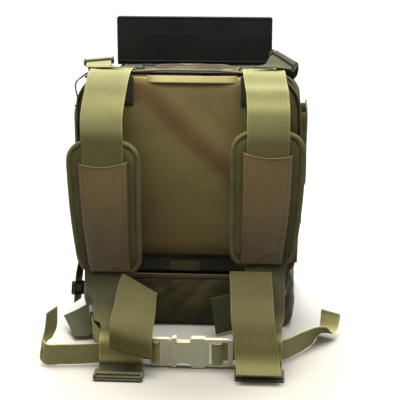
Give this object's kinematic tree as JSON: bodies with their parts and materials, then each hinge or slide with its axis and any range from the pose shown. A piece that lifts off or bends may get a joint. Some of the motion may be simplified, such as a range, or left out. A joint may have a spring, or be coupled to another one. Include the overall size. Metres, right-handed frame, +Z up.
{
  "type": "tackle backpack",
  "caption": "Camouflage fishing backpack with padded back, webbing shoulder straps with slide-on pads, waist belt with side-release buckle and a hard tackle case.",
  "frame": {"origin": "on the flat base the pack stands on, on the left-right centre line, 11 mm towards the wearer (-Y) from the middle of the base", "axes": "+Z up; -Y towards the wearer's back, where the padded panel and straps are; +X to the wearer's right"},
  "size_m": [0.3526, 0.3961, 0.371],
  "materials": {
    "camo_fabric": "printed woven polyester, matte",
    "panel_fabric": "blurred camouflage print on padded polyester",
    "pad_fabric": "olive polyester over foam",
    "sleeve_fabric": "smooth coated polyester, slight sheen",
    "webbing_khaki": "ribbed polypropylene webbing, khaki green",
    "webbing_olive": "ribbed polypropylene webbing, olive",
    "webbing_dark": "flat webbing, dark green",
    "black_fabric": "black mesh fabric",
    "black_plastic": "moulded acetal, satin black",
    "case_plastic": "moulded polypropylene, satin near-black",
    "tray_plastic": "translucent grey polypropylene",
    "buckle_plastic": "moulded acetal, grey khaki",
    "slider_plastic": "moulded acetal, olive grey",
    "stiffener": "polyethylene sheet",
    "zip_black": "coil zip and cord, black",
    "pin_steel": "drawn steel"
  },
  "bodies": {
    "pack": {"main_compartment": "camo_fabric", "back_panel": "panel_fabric", "frame_sheet": "stiffener", "lumbar_band": "black_fabric", "lumbar_tab": "pad_fabric", "bottom_compartment": "camo_fabric", "base_piping": "pad_fabric", "side_pocket_left": "pad_fabric", "side_pocket_right": "pad_fabric", "main_zip": "zip_black", "case_sleeve": "camo_fabric", "case_tub": "case_plastic", "lid_hinge_pin_left": "pin_steel", "lid_hinge_pin_right": "pin_steel", "latch_pin": "pin_steel", "front_pocket": "camo_fabric", "strap_tail_left": "webbing_khaki", "strap_tail_right": "webbing_khaki", "lower_anchor_left": "webbing_dark", "lower_anchor_right": "webbing_dark", "belt_webbing_right": "webbing_olive", "belt_anchor_left": "webbing_olive", "belt_anchor_right": "webbing_olive", "belt_ring_left": "buckle_plastic", "buckle_female": "buckle_plastic", "compression_strap_left": "webbing_khaki", "compression_strap_right": "webbing_dark", "compression_buckle_left": "black_plastic", "compression_buckle_right": "black_plastic", "anchor_patch_left": "webbing_dark", "shoulder_webbing_left": "webbing_khaki", "lifter_webbing_left": "webbing_olive", "anchor_patch_right": "webbing_dark", "shoulder_webbing_right": "webbing_khaki", "lifter_webbing_right": "webbing_olive"},
    "case_lid": {"case_lid": "case_plastic"},
    "case_latch": {"case_latch": "case_plastic"},
    "case_tray": {"case_tray": "tray_plastic", "tray_divider_1": "tray_plastic", "tray_divider_2": "tray_plastic", "tray_divider_3": "tray_plastic"},
    "top_flap": {"top_flap": "camo_fabric"},
    "zip_slider_top": {"zip_slider_top": "zip_black"},
    "zip_pull_top": {"zip_pull_top": "zip_black"},
    "zip_slider_side": {"zip_slider_side": "zip_black"},
    "zip_pull_side": {"zip_pull_side": "zip_black", "zip_pull_cord": "zip_black"},
    "front_zip_slider": {"front_zip_slider": "zip_black"},
    "shoulder_pad_left": {"shoulder_pad_left": "pad_fabric", "pad_sleeve_left": "sleeve_fabric"},
    "shoulder_pad_right": {"shoulder_pad_right": "pad_fabric", "pad_sleeve_right": "sleeve_fabric"},
    "strap_slider_left": {"strap_slider_left": "slider_plastic"},
    "strap_slider_right": {"strap_slider_right": "slider_plastic"},
    "lifter_slider_left": {"lifter_slider_left": "black_plastic"},
    "lifter_slider_right": {"lifter_slider_right": "black_plastic"},
    "buckle_male": {"buckle_male": "buckle_plastic", "belt_webbing_left": "webbing_olive"},
    "buckle_prong_upper": {"buckle_prong_upper": "buckle_plastic"},
    "buckle_prong_lower": {"buckle_prong_lower": "buckle_plastic"}
  },
  "joints": [
    {"name": "case_lid_hinge", "type": "hinge", "parent": "pack", "child": "case_lid", "pos_m": [0, 0.0435, 0.3065], "axis": [-1, 0, 0], "range_deg": [0, 90]},
    {"name": "case_latch_hinge", "type": "hinge", "parent": "pack", "child": "case_latch", "pos_m": [0, 0.1118, 0.285], "axis": [1, 0, 0], "range_deg": [0, 62]},
    {"name": "case_tray_lift", "type": "slide", "parent": "pack", "child": "case_tray", "axis": [0, 0, -1], "range_m": [-0.1, 0]},
    {"name": "top_flap_hinge", "type": "hinge", "parent": "pack", "child": "top_flap", "pos_m": [0, 0.034, 0.309], "axis": [-1, 0, 0], "range_deg": [0, 75]},
    {"name": "zip_slider_top_slide", "type": "slide", "parent": "pack", "child": "zip_slider_top", "axis": [1, 0, 0], "range_m": [0, 0.1]},
    {"name": "zip_pull_top_swing", "type": "hinge", "parent": "zip_slider_top", "child": "zip_pull_top", "pos_m": [-0.0545, -0.07, 0.3268], "axis": [0, -1, 0], "range_deg": [0, 150]},
    {"name": "zip_slider_side_travel", "type": "hinge", "parent": "pack", "child": "zip_slider_side", "pos_m": [-0.09, -0.07, 0.273], "axis": [0, -1, 0], "range_deg": [0, 25]},
    {"name": "zip_pull_side_swing", "type": "hinge", "parent": "zip_slider_side", "child": "zip_pull_side", "pos_m": [-0.1215, -0.07, 0.3165], "axis": [0, 1, 0], "range_deg": [0, 60]},
    {"name": "front_zip_slide", "type": "slide", "parent": "pack", "child": "front_zip_slider", "axis": [1, 0, 0], "range_m": [0, 0.126]},
    {"name": "buckle_release", "type": "slide", "parent": "pack", "child": "buckle_male", "axis": [-1, 0, 0], "range_m": [0, 0.032]},
    {"name": "prong_upper_squeeze", "type": "hinge", "parent": "buckle_male", "child": "buckle_prong_upper", "pos_m": [-0.0111, -0.212, 0.0292], "axis": [0, 1, 0], "range_deg": [0, 8], "stiffness_Nm_per_rad": 0.02},
    {"name": "prong_lower_squeeze", "type": "hinge", "parent": "buckle_male", "child": "buckle_prong_lower", "pos_m": [-0.0111, -0.212, 0.0082], "axis": [0, -1, 0], "range_deg": [0, 8], "stiffness_Nm_per_rad": 0.02},
    {"name": "shoulder_pad_left_slide", "type": "slide", "parent": "pack", "child": "shoulder_pad_left", "axis": [0, 0, 1], "range_m": [0, 0.018]},
    {"name": "strap_slider_left_slide", "type": "slide", "parent": "pack", "child": "strap_slider_left", "axis": [0, 1, 0], "range_m": [0, 0.008]},
    {"name": "lifter_slider_left_slide", "type": "slide", "parent": "pack", "child": "lifter_slider_left", "axis": [-0.1024, 0.9934, 0.0512], "range_m": [0, 0.008]},
    {"name": "shoulder_pad_right_slide", "type": "slide", "parent": "pack", "child": "shoulder_pad_right", "axis": [0, 0, 1], "range_m": [0, 0.018]},
    {"name": "strap_slider_right_slide", "type": "slide", "parent": "pack", "child": "strap_slider_right", "axis": [0, 1, 0], "range_m": [0, 0.008]},
    {"name": "lifter_slider_right_slide", "type": "slide", "parent": "pack", "child": "lifter_slider_right", "axis": [0.2049, 0.9734, 0.1025], "range_m": [0, 0.008]}
  ],
  "couplings": [
    {"joint": "prong_lower_squeeze", "follows": "prong_upper_squeeze", "ratio": 1}
  ]
}
